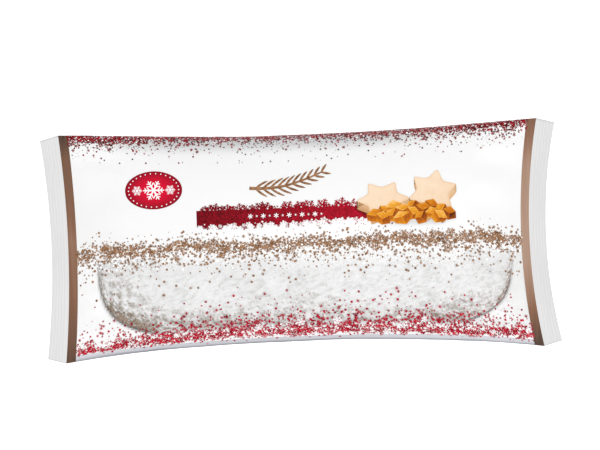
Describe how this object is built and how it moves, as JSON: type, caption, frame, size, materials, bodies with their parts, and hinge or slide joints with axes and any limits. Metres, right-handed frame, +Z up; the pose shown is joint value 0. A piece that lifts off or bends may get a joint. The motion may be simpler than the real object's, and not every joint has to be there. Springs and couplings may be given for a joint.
{
  "type": "packaged stollen",
  "caption": "Sugar-dusted stollen loaf sealed in a flat pillow pack of printed film with a clear window and crimped ends.",
  "frame": {"origin": "middle of the pack's base, on the surface it lies on", "axes": "+X along the loaf and the pack, +Y across it from the window side to the printed side, +Z up through the crown"},
  "size_m": [0.3405, 0.152, 0.042],
  "materials": {
    "printed_film": "white printed polypropylene film, satin, softly creased",
    "window_film": "clear polypropylene film, glossy",
    "brown_ink": "warm brown printing ink under the film's gloss",
    "red_ink": "dark red printing ink under the film's gloss",
    "icing_sugar": "powdered icing sugar, matt and uneven",
    "baked_crust": "browned yeast crust, rough, dusted with sugar"
  },
  "bodies": {
    "root": {"sealed_pack": "printed_film"}
  },
  "joints": []
}
